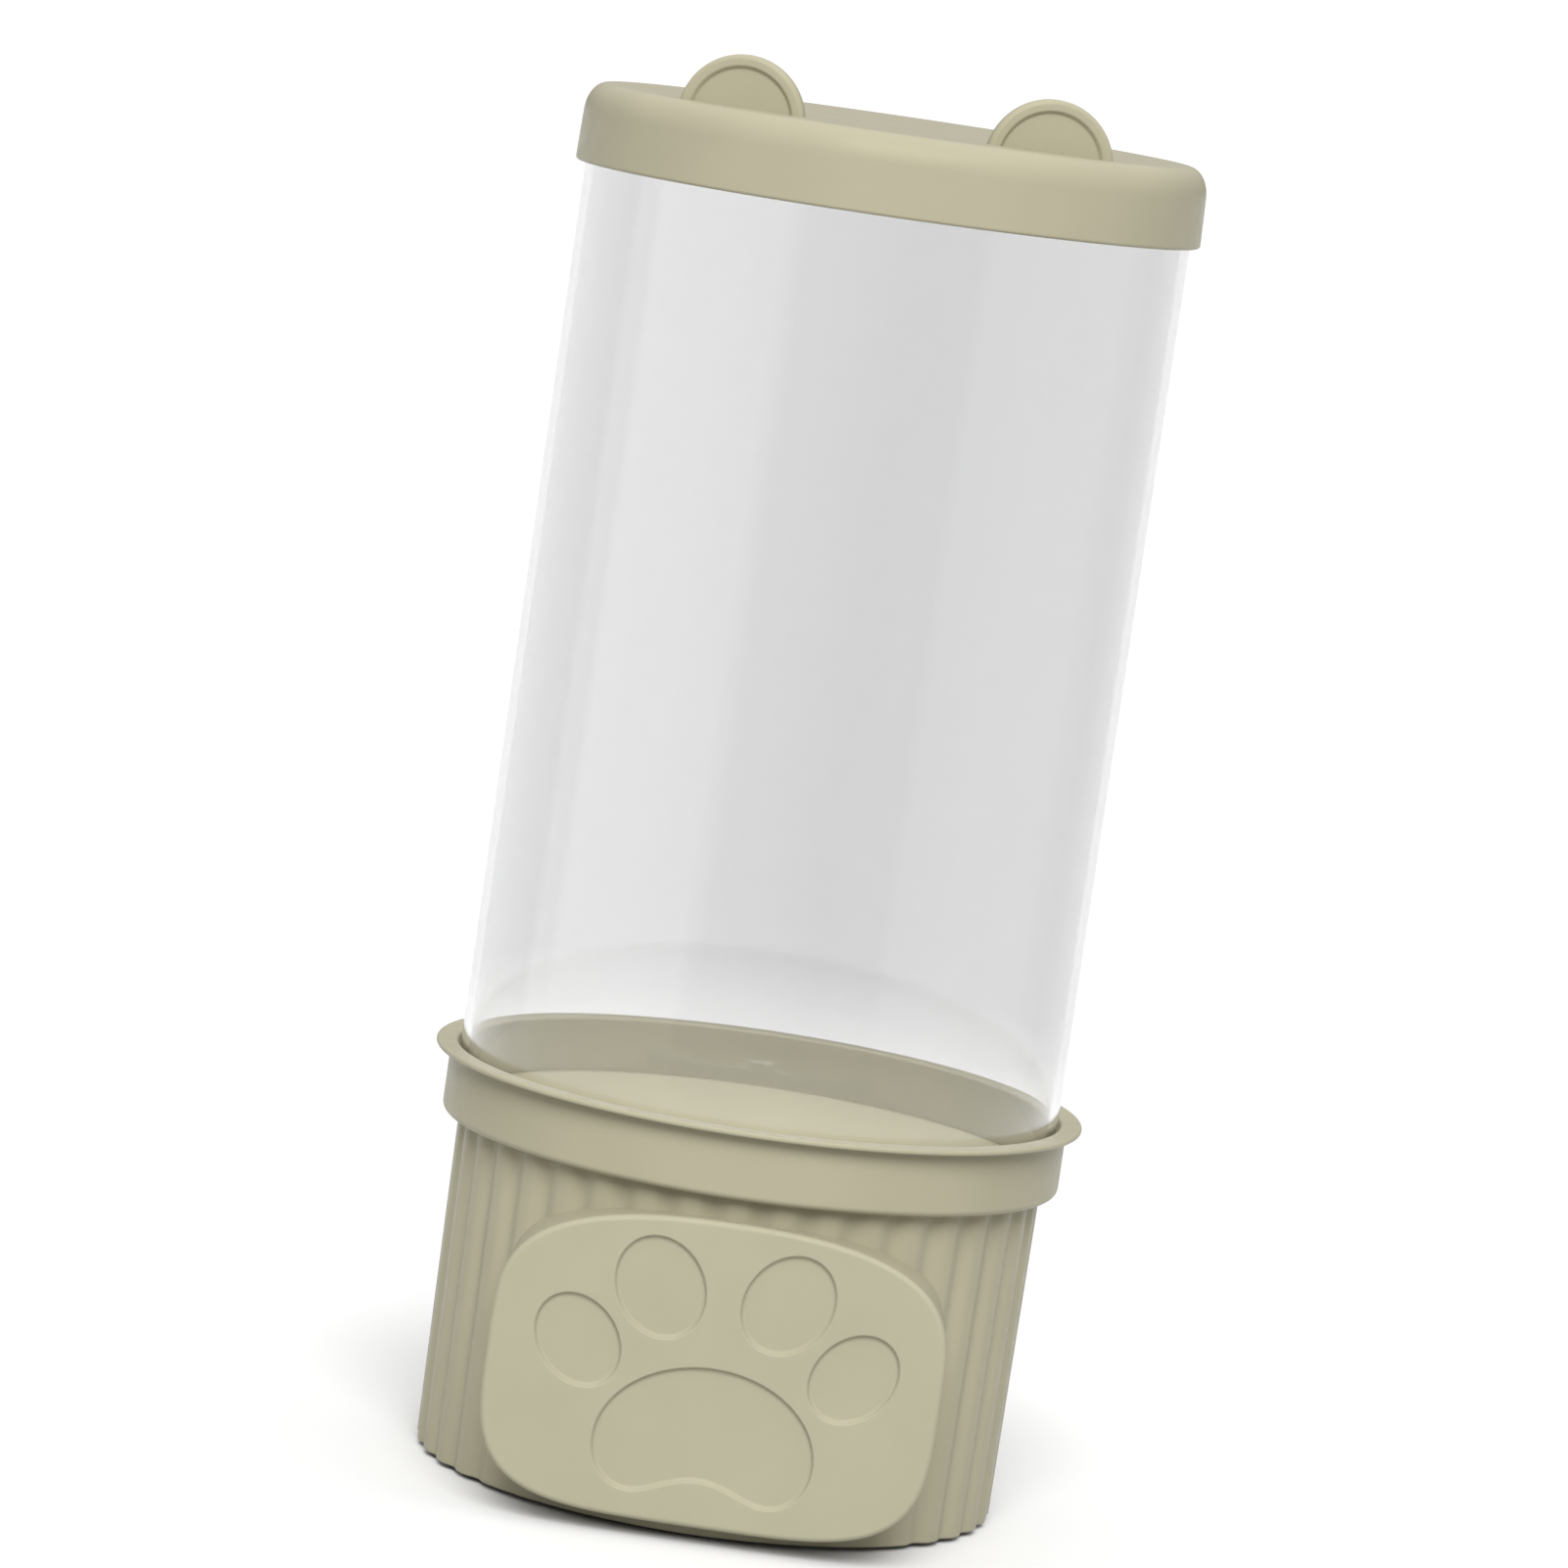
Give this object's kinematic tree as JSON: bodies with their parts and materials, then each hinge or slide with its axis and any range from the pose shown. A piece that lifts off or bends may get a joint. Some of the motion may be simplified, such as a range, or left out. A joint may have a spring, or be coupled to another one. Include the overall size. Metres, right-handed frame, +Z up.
{
  "type": "automatic pet feeder",
  "caption": "Automatic pet feeder: a clear tube hopper with a cat-ear lid on a round ribbed base, with a motor-driven portion wheel and a tip-out feed bin behind a paw-print plate.",
  "frame": {"origin": "on the floor under the centre of the round base", "axes": "+Z up along the tube, -Y towards the paw plate at the front, +X to the right seen from the front"},
  "size_m": [0.1406, 0.1406, 0.3069],
  "materials": {
    "shell": "satin moulded ABS, beige-olive",
    "plate": "fine matt moulded ABS, slightly paler than the shell",
    "clear": "clear polished acrylic tube",
    "seal": "translucent white silicone",
    "rubber": "dark matt rubber",
    "inner": "off-white moulded polypropylene",
    "wheel": "grey-green flexible moulded plastic",
    "steel": "zinc-plated steel",
    "brass": "bare brass",
    "bracket": "white nylon",
    "black": "black moulded plastic",
    "cell": "plain printed battery sleeve, with no lettering",
    "board": "green solder mask",
    "lens": "clear light pipe",
    "wire": "red insulation"
  },
  "bodies": {
    "base": {"base_cup": "shell", "bottom_cover": "shell", "cover_screws": "steel", "rubber_feet": "rubber", "feed_funnel": "shell", "rotor_housing": "inner", "housing_screws": "steel", "outlet_chute": "inner", "shaft_bush": "brass", "motor_can": "steel", "motor_gearbox": "brass", "motor_bracket": "bracket", "motor_screws": "steel", "battery_holder": "black", "batteries": "cell", "battery_contacts": "steel", "circuit_board": "board", "board_parts": "black", "board_screws": "steel", "status_lens": "lens", "wiring": "wire"},
    "hopper": {"hopper_tube": "clear"},
    "lid": {"lid": "shell", "lid_seal": "seal"},
    "rotor": {"portion_wheel": "wheel", "output_shaft": "steel", "stirrer": "wheel", "stirrer_screw": "steel"},
    "bin": {"feed_bin": "inner", "bin_pins": "steel", "bin_screws": "steel", "paw_plate": "plate"},
    "button": {"feed_button": "plate"},
    "battery_door": {"battery_door": "shell"}
  },
  "joints": [
    {"name": "hopper_lift", "type": "slide", "parent": "base", "child": "hopper", "axis": [0, 0, 1], "range_m": [0, 0.03]},
    {"name": "lid_lift", "type": "slide", "parent": "hopper", "child": "lid", "axis": [0, 0, 1], "range_m": [0, 0.03]},
    {"name": "bin_tilt", "type": "hinge", "parent": "base", "child": "bin", "pos_m": [0, -0.063, 0.0085], "axis": [1, 0, 0], "range_deg": [0, 40]},
    {"name": "rotor_spin", "type": "hinge", "parent": "base", "child": "rotor", "pos_m": [0, 0, 0.05], "axis": [0, 0, 1], "continuous": true},
    {"name": "button_press", "type": "slide", "parent": "base", "child": "button", "axis": [0, -1, 0], "range_m": [0, 0.0012], "stiffness_N_per_m": 400},
    {"name": "battery_door_slide", "type": "slide", "parent": "base", "child": "battery_door", "axis": [0, 1, 0], "range_m": [0, 0.006]}
  ]
}
